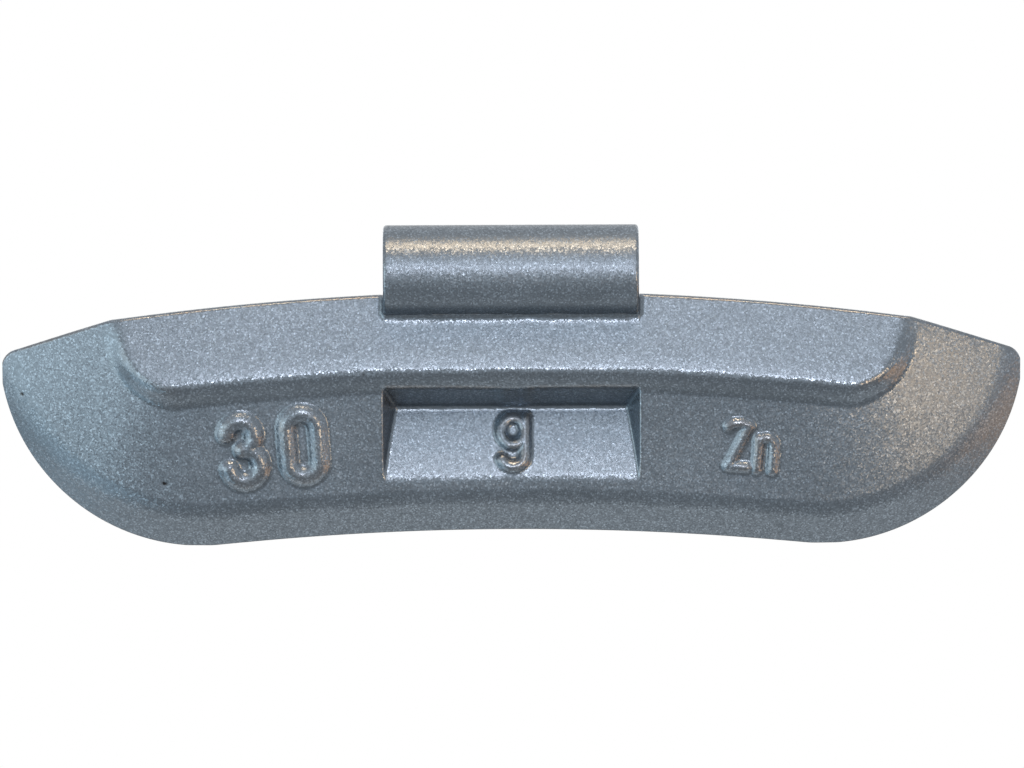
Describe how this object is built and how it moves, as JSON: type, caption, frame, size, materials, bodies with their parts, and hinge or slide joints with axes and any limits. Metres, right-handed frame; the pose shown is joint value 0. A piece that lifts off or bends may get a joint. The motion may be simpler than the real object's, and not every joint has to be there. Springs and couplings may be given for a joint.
{
  "type": "wheel balance weight",
  "caption": "Clip-on wheel balance weight: an arched, tapered die-cast body with a raised upper band and a recessed pocket, and a bent spring strip cast into it that grips the rim's flange.",
  "frame": {"origin": "axis of the clip's roll, at the middle of the strip's width", "axes": "+X along the rim, +Y along the axle towards the tyre, +Z outward from the wheel's centre; the front faces -Y"},
  "size_m": [0.072, 0.0106, 0.023],
  "materials": {
    "coated_zinc": "silver grey metallic coating over die-cast zinc, satin",
    "coated_spring_steel": "the same silver grey metallic coating over spring steel, satin"
  },
  "bodies": {
    "root": {"weight_body": "coated_zinc", "spring_clip": "coated_spring_steel"}
  },
  "joints": []
}
